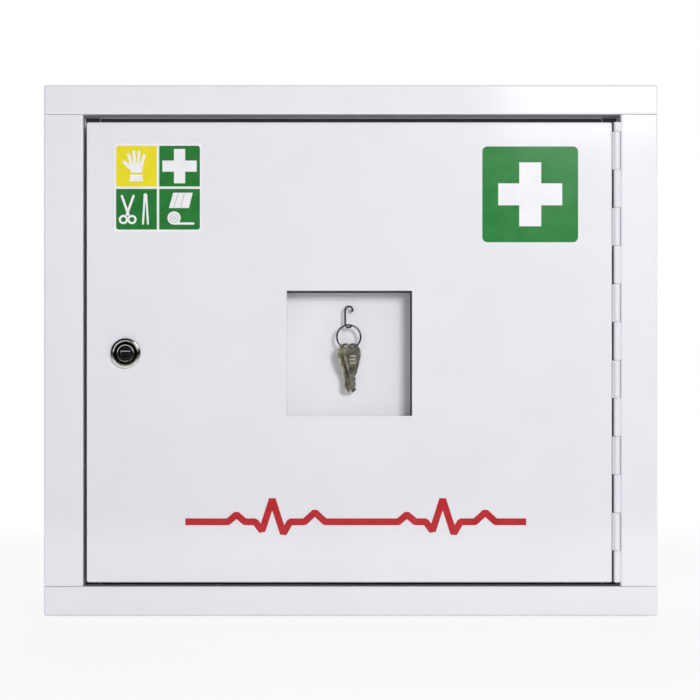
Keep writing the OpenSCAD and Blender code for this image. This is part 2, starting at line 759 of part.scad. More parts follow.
// One edge of a stroke along points: s is 1 for its left edge and -1 for its right edge
function stroke_edge(points, half, s) = let (
    last = len(points) - 1,
    dir = [for (i = [0 : last - 1]) (points[i + 1] - points[i]) / norm(points[i + 1] - points[i])],
    side = [for (d = dir) [-d[1], d[0]]]
) [for (i = [0 : last])
    let (a = side[max(i - 1, 0)], b = side[min(i, last - 1)], turn = a[0] * b[1] - a[1] * b[0])
    each s * turn < 0 ? [points[i] + s * half * a, points[i] + s * half * b]
                      : [points[i] + s * half * (a + b) / (1 + a * b)]];

// Pulse line: two beats side by side, as a stroke of even width with bevelled joins
module pulse_line() {
    points = [for (i = [0, 1], p = beat) if (i == 0 || p[0] > 0) [(i + p[0] - 1) * beat_l, p[1] * beat_up]];
    x = (door_x[0] + door_x[1]) / 2 + pulse_side;
    left = stroke_edge(points, pulse_w / 2, 1);
    right = stroke_edge(points, pulse_w / 2, -1);
    color("crimson") translate([x, front_y, door_z[0] + pulse_up]) rotate([90, 0, 0])
        linear_extrude(label_t) polygon([each left, for (i = [len(right) - 1 : -1 : 0]) right[i]]);
}

back_panel();
top_panel();
bottom_panel();
left_side_panel();
right_side_panel();
left_front_rack();
left_back_rack();
right_front_rack();
right_back_rack();
shelf_clips();
door_buffers();
hinge_frame_leaf();
hinge_pin();
door_panel();
hinge_door_leaf();
key_box();
key_pane();
key_box_studs();
key_box_nuts();
key_hook();
lock_housing();
lock_nut();
first_aid_sign();
contents_label();
pulse_line();
lock_plug();
lock_cam();
cam_screw();
key_ring();
left_key();
right_key();
lower_shelf();
upper_shelf();
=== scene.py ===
"""Looks of a wall-hung medicine cabinet in white folded sheet steel, with an emergency-key box in its door.

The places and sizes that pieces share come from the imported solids. Lengths on the cabinet are written in
millimetres, which MM turns to metres, and those in the room around it in metres. X runs to the hinge side, Y
into the cabinet and Z up.
"""

import math

import bmesh
import bpy
from mathutils import Matrix, Vector
from mathutils.bvhtree import BVHTree


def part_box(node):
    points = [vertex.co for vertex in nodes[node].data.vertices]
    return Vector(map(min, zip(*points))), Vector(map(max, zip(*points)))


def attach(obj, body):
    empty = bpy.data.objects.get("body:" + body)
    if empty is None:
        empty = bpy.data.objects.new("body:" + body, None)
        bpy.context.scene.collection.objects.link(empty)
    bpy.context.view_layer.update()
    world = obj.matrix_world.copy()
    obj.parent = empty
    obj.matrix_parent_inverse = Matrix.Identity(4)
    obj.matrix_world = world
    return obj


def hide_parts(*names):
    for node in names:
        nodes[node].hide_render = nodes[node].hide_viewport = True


MM = 0.001
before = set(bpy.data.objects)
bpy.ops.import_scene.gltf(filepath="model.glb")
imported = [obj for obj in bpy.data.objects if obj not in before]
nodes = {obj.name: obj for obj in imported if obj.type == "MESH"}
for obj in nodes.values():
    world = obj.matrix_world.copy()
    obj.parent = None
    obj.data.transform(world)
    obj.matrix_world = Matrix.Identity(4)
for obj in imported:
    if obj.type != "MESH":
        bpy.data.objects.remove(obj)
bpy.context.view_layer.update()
bpy.ops.object.select_all(action="DESELECT")

# The planes and axes that several pieces share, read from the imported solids
door_low, door_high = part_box("door_panel")
FRONT = door_low.y
DOOR_MIDDLE = (door_low + door_high) / 2
bezel_low, bezel_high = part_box("lock_housing")
LOCK = Vector(((bezel_low.x + bezel_high.x) / 2, FRONT, (bezel_low.z + bezel_high.z) / 2))
ring_low, ring_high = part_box("key_ring")
RING = (ring_low + ring_high) / 2


# Finishes


class Finish:
    """A material with one Principled shader, which the nodes of its pattern lead to."""

    # The values between which most of a noise pattern lies
    PATTERN_LOW = 0.3
    PATTERN_HIGH = 0.7
    # Where a colour ramp starts and ends on it
    RAMP_START = 0.35
    RAMP_END = 0.65

    def __init__(self, name, colour, roughness, metallic=0.0, specular=0.5):
        self.material = bpy.data.materials.new(name)
        self.material.use_nodes = True
        self.tree = self.material.node_tree
        self.shader = self.tree.nodes["Principled BSDF"]
        self.shader.inputs["Base Color"].default_value = (*colour, 1)
        self.shader.inputs["Roughness"].default_value = roughness
        self.shader.inputs["Metallic"].default_value = metallic
        self.shader.inputs["Specular IOR Level"].default_value = specular
        self.place = self.tree.nodes.new("ShaderNodeTexCoord").outputs["Object"]
        self.height = None

    def add(self, kind, **settings):
        node = self.tree.nodes.new(kind)
        for key, value in settings.items():
            setattr(node, key, value)
        return node

    def link(self, a, b):
        self.tree.links.new(a, b)

    def grain(self, per_metre, detail=2.0, stretch=(1, 1, 1)):
        """Noise with that many patches to the metre, drawn out along an axis whose stretch is small."""
        mapping = self.add("ShaderNodeMapping")
        mapping.inputs["Scale"].default_value = stretch
        noise = self.add("ShaderNodeTexNoise")
        noise.inputs["Scale"].default_value = per_metre
        noise.inputs["Detail"].default_value = detail
        self.link(self.place, mapping.inputs["Vector"])
        self.link(mapping.outputs["Vector"], noise.inputs["Vector"])
        return noise.outputs["Fac"]

    def turned(self, centre, per_metre):
        """Fine rings about an axis along Y through centre, as a lathe tool leaves."""
        mapping = self.add("ShaderNodeMapping")
        mapping.inputs["Location"].default_value = (-centre.x, -centre.y, -centre.z)
        mapping.inputs["Scale"].default_value = (1, 0, 1)
        wave = self.add("ShaderNodeTexWave", wave_type="RINGS", rings_direction="SPHERICAL")
        wave.inputs["Scale"].default_value = per_metre
        wave.inputs["Distortion"].default_value = 0.6
        self.link(self.place, mapping.inputs["Vector"])
        self.link(mapping.outputs["Vector"], wave.inputs["Vector"])
        return wave.outputs["Fac"]

    def rough_between(self, pattern, low, high):
        spread = self.add("ShaderNodeMapRange")
        spread.inputs["From Min"].default_value = self.PATTERN_LOW
        spread.inputs["From Max"].default_value = self.PATTERN_HIGH
        spread.inputs["To Min"].default_value = low
        spread.inputs["To Max"].default_value = high
        self.link(pattern, spread.inputs["Value"])
        self.link(spread.outputs["Result"], self.shader.inputs["Roughness"])

    def colour_between(self, pattern, low, high):
        ramp = self.add("ShaderNodeValToRGB")
        ramp.color_ramp.elements[0].position = self.RAMP_START
        ramp.color_ramp.elements[1].position = self.RAMP_END
        ramp.color_ramp.elements[0].color = (*low, 1)
        ramp.color_ramp.elements[1].color = (*high, 1)
        self.link(pattern, ramp.inputs["Fac"])
        self.link(ramp.outputs["Color"], self.shader.inputs["Base Color"])

    def relief(self, pattern, height, strength=1.0):
        """Adds the pattern's height, in millimetres, to the surface's relief."""
        bump = self.add("ShaderNodeBump")
        bump.inputs["Strength"].default_value = strength
        bump.inputs["Distance"].default_value = height * MM
        self.link(pattern, bump.inputs["Height"])
        if self.height:
            self.link(self.height, bump.inputs["Normal"])
        self.height = bump.outputs["Normal"]
        self.link(self.height, self.shader.inputs["Normal"])


def powder_coat(name, low, high, gloss):
    """White baked paint: fine orange peel over the slight waves of thin sheet, a touch uneven in tone."""
    coat = Finish(name, high, gloss, specular=0.9)
    coat.colour_between(coat.grain(14, 3), low, high)
    coat.rough_between(coat.grain(60, 3), gloss - 0.02, gloss + 0.03)
    coat.relief(coat.grain(11, 1), 0.5, 0.25)
    coat.relief(coat.grain(420, 2), 0.02, 0.5)
    return coat.material


def printed_film(name, low, high):
    """Glossy printed vinyl: an even ink with a faint mottle and a soft surface."""
    film = Finish(name, high, 0.17, specular=0.8)
    film.colour_between(film.grain(90, 3), low, high)
    film.rough_between(film.grain(45, 3), 0.14, 0.2)
    film.relief(film.grain(160, 2), 0.02, 0.35)
    return film.material


def plated_metal(name, low, high, rough, grain_size, stretch, metallic=1.0):
    """Plated metal: cloudy in tone, with fine marks that run one way.

    Where metallic is below 1, the whole finish is less metallic.
    """
    metal = Finish(name, high, rough, metallic)
    metal.colour_between(metal.grain(grain_size, 3), low, high)
    metal.rough_between(metal.grain(grain_size * 2, 3, stretch), rough - 0.06, rough + 0.12)
    metal.relief(metal.grain(grain_size * 8, 2, stretch), 0.01, 0.4)
    return metal.material


frame_paint = powder_coat("frame_paint", (0.777, 0.777, 0.827), (0.797, 0.797, 0.842), 0.1)
door_paint = powder_coat("door_paint", (0.765, 0.765, 0.81), (0.785, 0.785, 0.828), 0.1)
inner_paint = powder_coat("inner_paint", (0.745, 0.745, 0.785), (0.77, 0.77, 0.81), 0.2)

box_finish = Finish("box_plastic", (0.775, 0.775, 0.81), 0.42)
box_finish.colour_between(box_finish.grain(25, 3), (0.76, 0.76, 0.795), (0.785, 0.785, 0.82))
box_finish.rough_between(box_finish.grain(120, 3), 0.36, 0.5)
box_finish.relief(box_finish.grain(900, 2), 0.02, 0.5)
box_plastic = box_finish.material

# Painted shade: a black finish for the recess walls that lie in shadow
recess_shade_finish = Finish("recess_painted_shade", (0.012, 0.012, 0.01), 0.8, specular=0.2)
recess_shade_finish.colour_between(recess_shade_finish.grain(300, 3), (0.008, 0.008, 0.007), (0.016, 0.015, 0.012))
recess_shade_finish.relief(recess_shade_finish.grain(900, 3), 0.05, 0.6)
recess_painted_shade = recess_shade_finish.material

pane_finish = Finish("pane", (0.8, 0.84, 0.84), 0.04)
pane_finish.rough_between(pane_finish.grain(30, 3), 0.02, 0.07)
pane_finish.shader.inputs["Alpha"].default_value = 0.015
pane = pane_finish.material

rubber_finish = Finish("buffer_rubber", (0.045, 0.045, 0.048), 0.7)
rubber_finish.rough_between(rubber_finish.grain(400, 3), 0.6, 0.85)
rubber_finish.relief(rubber_finish.grain(1500, 2), 0.03, 0.6)
buffer_rubber = rubber_finish.material

zinc_plate = plated_metal("zinc_plate", (0.5, 0.52, 0.54), (0.68, 0.7, 0.72), 0.34, 260, (1, 1, 1))
pin_steel = plated_metal("pin_steel", (0.42, 0.42, 0.43), (0.55, 0.55, 0.56), 0.3, 200, (1, 1, 0.05))
ring_wire = plated_metal("ring_wire", (0.2, 0.2, 0.2), (0.34, 0.34, 0.34), 0.2, 300, (1, 1, 1))
key_nickel = plated_metal("key_nickel", (0.3, 0.27, 0.18), (0.8, 0.75, 0.6), 0.24, 150, (1, 1, 0.4), 0.9)
key_satin = plated_metal("key_satin", (0.72, 0.68, 0.55), (0.86, 0.82, 0.7), 0.5, 200, (1, 1, 1), 0.6)

hook_finish = Finish("hook_wire", (0.012, 0.012, 0.013), 0.45, specular=0.25)
hook_finish.colour_between(hook_finish.grain(300, 3), (0.008, 0.008, 0.008), (0.018, 0.018, 0.019))
hook_finish.rough_between(hook_finish.grain(500, 3), 0.4, 0.55)
hook_wire = hook_finish.material


def lock_metal(name, low, high, rough):
    """Plated brass, with the fine rings of its turning."""
    metal = Finish(name, high, rough, metallic=1)
    metal.colour_between(metal.grain(220, 3), low, high)
    metal.rough_between(metal.grain(500, 3), rough - 0.04, rough + 0.08)
    metal.relief(metal.turned(LOCK, 900), 0.004, 0.5)
    return metal.material


lock_chrome = lock_metal("lock_chrome", (0.62, 0.61, 0.58), (0.74, 0.73, 0.69), 0.14)
# Painted shade: a near-black copy of the plated metal for the bezel's groove
lock_groove_shade = lock_metal("lock_groove_shade", (0.02, 0.02, 0.02), (0.032, 0.032, 0.034), 0.22)
plug_chrome = lock_metal("plug_chrome", (0.5, 0.5, 0.5), (0.62, 0.61, 0.59), 0.14)

sign_green = printed_film("sign_green", (0.024, 0.195, 0.042), (0.03, 0.22, 0.05))
label_green = printed_film("label_green", (0.02, 0.175, 0.034), (0.026, 0.2, 0.042))
label_yellow = printed_film("label_yellow", (0.76, 0.66, 0.02), (0.8, 0.7, 0.03))
label_white = printed_film("label_white", (0.8, 0.8, 0.83), (0.84, 0.84, 0.86))
marking_red = printed_film("marking_red", (0.44, 0.01, 0.018), (0.5, 0.014, 0.024))
print_grey = printed_film("print_grey", (0.42, 0.43, 0.45), (0.5, 0.51, 0.53))


# Ways of working


def only(*pieces):
    """Selects these objects and nothing else, the last of them active."""
    if bpy.context.object and bpy.context.object.mode != "OBJECT":
        bpy.ops.object.mode_set(mode="OBJECT")
    bpy.ops.object.select_all(action="DESELECT")
    for piece in pieces:
        piece.select_set(True)
        bpy.context.view_layer.objects.active = piece


def apply_modifier(piece, kind, **settings):
    only(piece)
    bpy.ops.object.modifier_add(type=kind)
    modifier = piece.modifiers[-1]
    for key, value in settings.items():
        setattr(modifier, key, value)
    bpy.ops.object.modifier_apply(modifier=modifier.name)


def settle(piece, name):
    """Names a piece and puts its place into its mesh."""
    only(piece)
    bpy.ops.object.transform_apply(location=True, rotation=True, scale=True)
    piece.name = name
    piece.data.name = name
    return piece


def dress(piece, body, slot, *materials):
    """Gives a finished piece its body and its materials; its slot is not used."""
    piece.data.materials.clear()
    for material in materials:
        piece.data.materials.append(material)
    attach(piece, body)
    return piece


def smooth(piece, degrees=35):
    """Shades the small rounds soft and keeps the broad faces flat."""
    only(piece)
    bpy.ops.object.shade_smooth_by_angle(angle=math.radians(degrees))
    apply_modifier(piece, "WEIGHTED_NORMAL", mode="FACE_AREA", keep_sharp=True)


def copy_of(node, name):
    """A node's own shape as a new piece, with its loose triangles merged into plain faces."""
    piece = bpy.data.objects.new(name, nodes[node].data.copy())
    piece.data.name = name
    bpy.context.collection.objects.link(piece)
    only(piece)
    bpy.ops.mesh.customdata_custom_splitnormals_clear()
    bpy.ops.object.mode_set(mode="EDIT")
    bpy.ops.mesh.select_all(action="SELECT")
    bpy.ops.mesh.remove_doubles(threshold=0.002 * MM)
    bpy.ops.mesh.dissolve_limited(angle_limit=math.radians(0.8))
    bpy.ops.object.mode_set(mode="OBJECT")
    return piece


SHEET = 1.0
FOLD_ANGLE = math.radians(40)
PAST_A_CUT = 1.6 * SHEET * MM
TOUCHING = 0.02 * MM
ALIGNED = 0.9


def round_folds(piece, radius, cut=0.2):
    """Rounds a folded sheet: outer bends by radius, inner bends by a sheet less, and cut edges a little.

    Both faces at an outer bend are broad, so each is still met at a spot further in than the sheet is thick.
    """
    shape = bmesh.new()
    shape.from_mesh(piece.data)
    tree = BVHTree.FromBMesh(shape)
    weights = shape.edges.layers.float.new("bevel_weight_edge")
    for edge in shape.edges:
        if len(edge.link_faces) != 2 or edge.calc_face_angle() < FOLD_ANGLE:
            continue
        a, b = (face.normal for face in edge.link_faces)
        middle = (edge.verts[0].co + edge.verts[1].co) / 2
        if not edge.is_convex:
            edge[weights] = (radius - SHEET) / radius
            continue
        broad = 0
        for own, other in ((a, b), (b, a)):
            spot = middle - other * PAST_A_CUT
            _, normal, _, away = tree.find_nearest(spot)
            broad += away < TOUCHING and normal.dot(own) > ALIGNED
        edge[weights] = 1 if broad == 2 else cut / radius
    shape.to_mesh(piece.data)
    shape.free()
    apply_modifier(piece, "BEVEL", width=radius * MM, segments=4, limit_method="WEIGHT",
                   use_clamp_overlap=False)
    smooth(piece)


def soften(piece, width, degrees=30, segments=2, smooth_degrees=35):
    """Takes the sharpness off every edge that turns by more than some degrees."""
    apply_modifier(piece, "BEVEL", width=width * MM, segments=segments, limit_method="ANGLE",
                   angle_limit=math.radians(degrees), use_clamp_overlap=True)
    smooth(piece, smooth_degrees)


def fuse(pieces, name):
    """One closed piece from several that overlap."""
    first, rest = pieces[0], pieces[1:]
    only(*rest)
    if len(rest) > 1:
        bpy.ops.object.join()
    tool = bpy.context.object
    apply_modifier(first, "BOOLEAN", operation="UNION", solver="EXACT", use_self=True, object=tool)
    bpy.data.objects.remove(tool)
    return settle(first, name)


def cut_away(piece, tools):
    """Cuts the tools' shapes out of a piece and removes them."""
    only(*tools)
    if len(tools) > 1:
        bpy.ops.object.join()
    tool = bpy.context.object
    bpy.ops.object.transform_apply(location=True, rotation=True, scale=True)
    apply_modifier(piece, "BOOLEAN", operation="DIFFERENCE", solver="EXACT", use_self=True, object=tool)
    bpy.data.objects.remove(tool)


def choose(piece, kind, test):
    """In edit mode, selects the faces or the edges that pass the test.

    It is given each one's middle, with a face's normal or the edge itself.
    """
    bpy.ops.mesh.select_mode(type=kind)
    bpy.ops.mesh.select_all(action="DESELECT")
    shape = bmesh.from_edit_mesh(piece.data)
    if kind == "FACE":
        for face in shape.faces:
            face.select_set(test(face.calc_center_median(), face.normal))
    else:
        for edge in shape.edges:
            edge.select_set(test((edge.verts[0].co + edge.verts[1].co) / 2, edge))
    shape.select_flush_mode()
    bmesh.update_edit_mesh(piece.data)


# Folded sheet steel: frame, sides, back, door and shelves

PANEL_BEND = 1.8
SHELF_BEND = 1.4
FRAME_PANELS = ("top_panel", "bottom_panel", "left_side_panel", "right_side_panel")
STOP_SHADE_DEPTH = 2.5 * MM
STOP_SHADE_REACH = 189 * MM


def on_painted_stop_shade(face):
    """Whether a face of the frame is the part of the stop behind the door's edge that is painted black as the
    shade seen through the gap.
    """
    behind_door = door_high.y < face.center.y < door_high.y + STOP_SHADE_DEPTH
    return face.normal.y < -ALIGNED and behind_door and abs(face.center.z - DOOR_MIDDLE.z) < STOP_SHADE_REACH


for node, body, slot, paint in (
    ("top_panel", "cabinet", "frame_paint", frame_paint),
    ("bottom_panel", "cabinet", "frame_paint", frame_paint),
    ("left_side_panel", "cabinet", "frame_paint", frame_paint),
    ("right_side_panel", "cabinet", "frame_paint", frame_paint),
    ("back_panel", "cabinet", "frame_paint", frame_paint),
    ("door_panel", "door", "door_paint", door_paint),
    ("lower_shelf", "lower_shelf", "inner_paint", inner_paint),
    ("upper_shelf", "upper_shelf", "inner_paint", inner_paint),
    ("left_front_rack", "cabinet", "inner_paint", inner_paint),
    ("left_back_rack", "cabinet", "inner_paint", inner_paint),
    ("right_front_rack", "cabinet", "inner_paint", inner_paint),
    ("right_back_rack", "cabinet", "inner_paint", inner_paint),
):
    sheet = copy_of(node, node + "_sheet")
    round_folds(sheet, PANEL_BEND if "panel" in node else SHELF_BEND)
    dress(sheet, body, slot, paint)
    if node in FRAME_PANELS:
        # Painted shade: the stop's face behind the door's edge is black, standing for the shade in the gap
        # round the door
        sheet.data.materials.append(buffer_rubber)
        for face in sheet.data.polygons:
            face.material_index = on_painted_stop_shade(face)
    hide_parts(node)

# Hinge leaves with rounded knuckle ends, and the pin

LEAF_SHADE_BACK = FRONT + 1.7 * MM
LEAF_SHADE_FACING = 0.5

for node, body in (("hinge_frame_leaf", "cabinet"), ("hinge_door_leaf", "door")):
    leaf = copy_of(node, node + "_painted")
    soften(leaf, 0.2, 45)
    dress(leaf, body, "frame_paint", frame_paint, buffer_rubber)
    if node == "hinge_door_leaf":
        # Painted shade: the leaf's front edge at the bottom of the gap is black, standing for the gap's
        # shadow
        for face in leaf.data.polygons:
            face.material_index = face.normal.y < -LEAF_SHADE_FACING and face.center.y > LEAF_SHADE_BACK
    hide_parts(node)

pin = copy_of("hinge_pin", "hinge_pin_domed")
soften(pin, 0.5, 45, 3)
dress(pin, "cabinet", "pin_steel", pin_steel)
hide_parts("hinge_pin")

# Key box: a moulded tray, pushed out of its flange's back and into its front

SAME_PLANE = 0.01 * MM
IN_THE_MIDDLE = 1 * MM


def push(piece, plane, facing, inset, depth, scale=1.0):
    """Insets the middle one of the faces on a plane across Y, then moves it along Y.

    The scale gives the walls a slight draft.
    """
    choose(piece, "FACE", lambda at, out: out.y * facing > ALIGNED and abs(at.y - plane) < SAME_PLANE
           and (at - BOX).xz.length < IN_THE_MIDDLE)
    bpy.ops.mesh.inset(thickness=inset, depth=0)
    bpy.ops.mesh.extrude_region_move(TRANSFORM_OT_translate={"value": (0, depth, 0)})
    if scale != 1:
        shape = bmesh.from_edit_mesh(piece.data)
        middle = next(face.calc_center_median() for face in shape.faces if face.select)
        bpy.ops.transform.resize(value=(scale, 1, scale), center_override=piece.matrix_world @ middle)


box_low, box_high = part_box("key_box")
BOX = (box_low + box_high) / 2
FLANGE_T = 3.2 * MM
FLANGE_W = 18.8 * MM
POCKET_RIM = 11.6 * MM
POCKET_D = 2 * MM
PANE_SEAT = 8.4 * MM
RECESS_D = 21 * MM
OUTER_DRAFT = 51 / 51.2
INNER_DRAFT = 49.8 / 50
CORNER_R = 1.6 * MM
STUD_FROM_MIDDLE = 64 * MM
STUD_HOLE_R = 2.2 * MM
STUD_HOLE_L = 8 * MM
bpy.ops.mesh.primitive_cube_add(size=1, location=(BOX.x, box_low.y + FLANGE_T / 2, BOX.z),
                                scale=(box_high.x - box_low.x, FLANGE_T, box_high.z - box_low.z))
tray = settle(bpy.context.object, "key_box_tray")
bpy.ops.object.mode_set(mode="EDIT")
flange_back = box_low.y + FLANGE_T
push(tray, flange_back, 1, FLANGE_W, box_high.y - flange_back, OUTER_DRAFT)
push(tray, box_low.y, -1, POCKET_RIM, POCKET_D)
push(tray, box_low.y + POCKET_D, -1, PANE_SEAT, RECESS_D, INNER_DRAFT)

# The outer walls' corners, and the rim of their end
WELL_BEHIND = 5 * MM
OUTER_REACH = 50.5 * MM
choose(tray, "EDGE", lambda at, edge: at.y > flange_back + WELL_BEHIND
       and max(abs(at.x - BOX.x), abs(at.z - BOX.z)) > OUTER_REACH)
bpy.ops.mesh.bevel(offset=CORNER_R, segments=5, affect="EDGES")
bpy.ops.object.mode_set(mode="OBJECT")
studs = []
for x in (-STUD_FROM_MIDDLE, STUD_FROM_MIDDLE):
    for z in (-STUD_FROM_MIDDLE, STUD_FROM_MIDDLE):
        bpy.ops.mesh.primitive_cylinder_add(vertices=32, radius=STUD_HOLE_R, depth=STUD_HOLE_L,
                                            location=(BOX.x + x, flange_back, BOX.z + z),
                                            rotation=(math.radians(90), 0, 0))
        studs.append(bpy.context.object)
cut_away(tray, studs)
soften(tray, 0.3, 50)
dress(tray, "door", "box_plastic", box_plastic, recess_painted_shade)

# Painted shade: the recess's top wall and hinge-side wall, which lie in shadow, are black
RECESS_SHADE_BEHIND = 2.4 * MM
RECESS_HALF = 50.2 * MM
RECESS_SHADE_FROM = 49 * MM
for face in tray.data.polygons:
    at = face.center - BOX
    is_wall = abs(face.normal.y) < 0.1 and box_low.y + RECESS_SHADE_BEHIND < face.center.y < box_high.y
    is_inside = max(abs(at.x), abs(at.z)) < RECESS_HALF
    face.material_index = is_wall and is_inside and max(at.x, at.z) > RECESS_SHADE_FROM
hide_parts("key_box")

glass = copy_of("key_pane", "key_box_glass")
soften(glass, 0.25)
dress(glass, "door", "pane", pane)
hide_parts("key_pane")

for node, piece_name, width, body in (
    ("key_box_studs", "key_box_stud_ends", 0.4, "door"),
    ("key_box_nuts", "key_box_hex_nuts", 0.35, "door"),
    ("lock_nut", "lock_hex_nut", 0.5, "door"),
    ("lock_cam", "lock_cam_plate", 0.3, "lock"),
    ("cam_screw", "cam_screw_pan", 0.5, "lock"),
    ("shelf_clips", "shelf_clips_bent", 0.25, "cabinet"),
):
    part = copy_of(node, piece_name)
    soften(part, width, 28)
    dress(part, body, "zinc_plate", zinc_plate)
    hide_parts(node)

buffers = copy_of("door_buffers", "door_buffer_pads")
soften(buffers, 0.4, 45, 3)
dress(buffers, "cabinet", "buffer_rubber", buffer_rubber)
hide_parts("door_buffers")


# Lock: a turned bezel and a plug with a bevelled keyway


def line_through(points):
    """Leaves edit mode on a line of vertices through some points, drawn out of one vertex."""
    bpy.ops.mesh.primitive_plane_add(size=1 * MM, location=points[0])
    bpy.ops.object.mode_set(mode="EDIT")
    bpy.ops.mesh.select_mode(type="VERT")
    bpy.ops.mesh.select_all(action="SELECT")
    bpy.ops.mesh.merge(type="CENTER")
    for a, b in zip(points, points[1:]):
        bpy.ops.mesh.extrude_region_move(TRANSFORM_OT_translate={"value": Vector(b) - Vector(a)})
    return bpy.context.object


def turned_piece(name, outline, steps=96):
    """Spins an outline of (radius, distance in front of the door) about the lock's axis."""
    points = [LOCK + Vector((r * MM, -out * MM, 0)) for r, out in outline]
    piece = line_through(points + points[:1])
    bpy.ops.mesh.select_all(action="SELECT")
    bpy.ops.mesh.remove_doubles(threshold=0.001 * MM)
    bpy.ops.mesh.select_all(action="SELECT")
    bpy.ops.mesh.spin(steps=steps, angle=math.tau, center=LOCK, axis=(0, 1, 0))
    bpy.ops.mesh.select_all(action="SELECT")
    bpy.ops.mesh.remove_doubles(threshold=0.001 * MM)
    bpy.ops.mesh.normals_make_consistent(inside=False)
    return settle(piece, name)


rear = (FRONT - bezel_high.y) / MM
BORE_R = 6.1
BARREL_R = 8
BEZEL_R = 12.2
GROOVE_SHADE_FROM = 7.25 * MM
GROOVE_SHADE_TO = 9.2 * MM
bezel = turned_piece("lock_bezel", [
    # The barrel, from its rear to the door's face
    (BORE_R, rear), (BARREL_R, rear), (BARREL_R, 0),
    # The flange with its rolled rim
    (BEZEL_R - 0.1, 0), (BEZEL_R, 0.1), (BEZEL_R, 1.5), (12.05, 2.1), (11.6, 2.55), (11.0, 2.75),
    # The ridge, the groove (painted black for its shade) and the lip round the plug
    (10.5, 2.85), (10.3, 3.0), (10.1, 3.0), (9.9, 2.85), (9.2, 2.2), (7.5, 2.2), (7.2, 2.5), (7.0, 3.0),
    (6.7, 3.0), (6.5, 2.9), (BORE_R, 2.4)])
dress(bezel, "door", "lock_chrome", lock_chrome, lock_groove_shade)
# Painted shade and reflection: the groove's faces take the near-black metal
for face in bezel.data.polygons:
    face.material_index = GROOVE_SHADE_FROM < (face.center - LOCK).xz.length < GROOVE_SHADE_TO
soften(bezel, 0.06, 30, 2, 25)
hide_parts("lock_housing")

plug = copy_of("lock_plug", "lock_plug_face")
only(plug)
bpy.ops.object.mode_set(mode="EDIT")
plug_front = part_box("lock_plug")[0].y
KEYWAY_REACH = 4.5 * MM
KEYWAY_BEVEL = 0.7 * MM
choose(plug, "EDGE", lambda at, edge: abs(at.y - plug_front) < SAME_PLANE
       and (at - LOCK).xz.length < KEYWAY_REACH and edge.calc_face_angle(0) > 1)
bpy.ops.mesh.bevel(offset=KEYWAY_BEVEL, segments=3, affect="EDGES")
bpy.ops.object.mode_set(mode="OBJECT")
soften(plug, 0.12, 45)
dress(plug, "lock", "plug_chrome", plug_chrome)
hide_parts("lock_plug")

# Wire hook, split ring and the two flat keys, which hang on the ring

hook = copy_of("key_hook", "key_hook_bent")
soften(hook, 0.25, 60, 3, 60)
dress(hook, "door", "hook_wire", hook_wire)
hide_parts("key_hook")

# The wire goes round once, steps aside and goes round again
RING_R = (ring_high.x - ring_low.x) / 2 - 0.8 * MM
HALF_WIRE = 0.38 * MM
SIDE_STEP = 0.8 * MM
STEP_PARTS = 6
STEP_TURN = math.radians(4)
RING_START = math.radians(62)
FIRST_ROUND = math.radians(334)
SECOND_ROUND = math.radians(330)
wire_end = RING + Vector((RING_R, -SIDE_STEP / 2, 0))
bpy.ops.mesh.primitive_circle_add(vertices=16, radius=HALF_WIRE, fill_type="NGON", location=wire_end)
split_ring = settle(bpy.context.object, "split_ring")
bpy.ops.object.mode_set(mode="EDIT")
bpy.ops.mesh.select_mode(type="FACE")
bpy.ops.mesh.select_all(action="SELECT")
bpy.ops.transform.resize(value=(2, 1, 1), center_override=wire_end)
bpy.ops.transform.rotate(value=RING_START, orient_axis="Y", center_override=RING)
bpy.ops.mesh.spin(steps=110, angle=FIRST_ROUND, center=RING, axis=(0, -1, 0))
for _ in range(STEP_PARTS):
    bpy.ops.mesh.extrude_region_move(TRANSFORM_OT_translate={"value": (0, SIDE_STEP / STEP_PARTS, 0)})
    bpy.ops.transform.rotate(value=STEP_TURN, orient_axis="Y", center_override=RING)
bpy.ops.mesh.spin(steps=110, angle=SECOND_ROUND, center=RING, axis=(0, -1, 0))
bpy.ops.mesh.select_all(action="SELECT")
bpy.ops.mesh.normals_make_consistent(inside=False)
soften(split_ring, 0.1, 60, 2, 50)
dress(split_ring, "key_ring", "ring_wire", ring_wire)
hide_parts("key_ring")

RING_MID_R = 9.6 * MM
EYE_DROP = 1.3 * MM
KEY_YAW = math.radians(45)


def key_place(angle, lean):
    """Where a key hangs, from an angle round the ring from its lowest point and how far it leans."""
    angle, lean = math.radians(angle), math.radians(lean)
    on_ring = RING + Vector((math.sin(angle), 0, -math.cos(angle))) * RING_MID_R
    return (Matrix.Translation(on_ring) @ Matrix.Rotation(lean, 4, "Y")
            @ Matrix.Translation((0, 0, -EYE_DROP)) @ Matrix.Rotation(KEY_YAW, 4, "Z"))


def bar(middle, size, turn=0.0):
    """A block that is cut away or fused, turned about Y."""
    bpy.ops.mesh.primitive_cube_add(size=1, location=middle, rotation=(0, turn, 0), scale=size)
    return bpy.context.object


# Ribs are left between three slots on each side of a key's head, and a long groove runs down each side of its
# blade. These are in the key's own frame, with its eye above and its thickness along Y.
KEY_PLACES = {"left_key": key_place(-18, -4), "right_key": key_place(18, 0)}
KEY_SIDE = 0.9 * MM
SLOTS_DOWN = (4.9 * MM, 7.7 * MM, 10.5 * MM)
SLOT_SIZE = (7.4 * MM, 0.7 * MM, 1.2 * MM)
GROOVE_MIDDLE = (-0.9 * MM, -28 * MM)
GROOVE_SIZE = (1.5 * MM, 1 * MM, 17 * MM)
right_key = copy_of("right_key", "right_key_cut")
right_key.data.transform(KEY_PLACES["right_key"].inverted())
slots = []
for side in (-KEY_SIDE, KEY_SIDE):
    for down in SLOTS_DOWN:
        slots.append(bar((0, side, -down), SLOT_SIZE))
    slots.append(bar((GROOVE_MIDDLE[0], side, GROOVE_MIDDLE[1]), GROOVE_SIZE))
cut_away(right_key, slots)
soften(right_key, 0.22, 40)
only(right_key)
bpy.ops.object.duplicate()
left_key = bpy.context.object
right_key.data.transform(KEY_PLACES["right_key"])
left_key.data.transform(KEY_PLACES["left_key"])
settle(right_key, "right_key_cut")
settle(left_key, "left_key_cut")

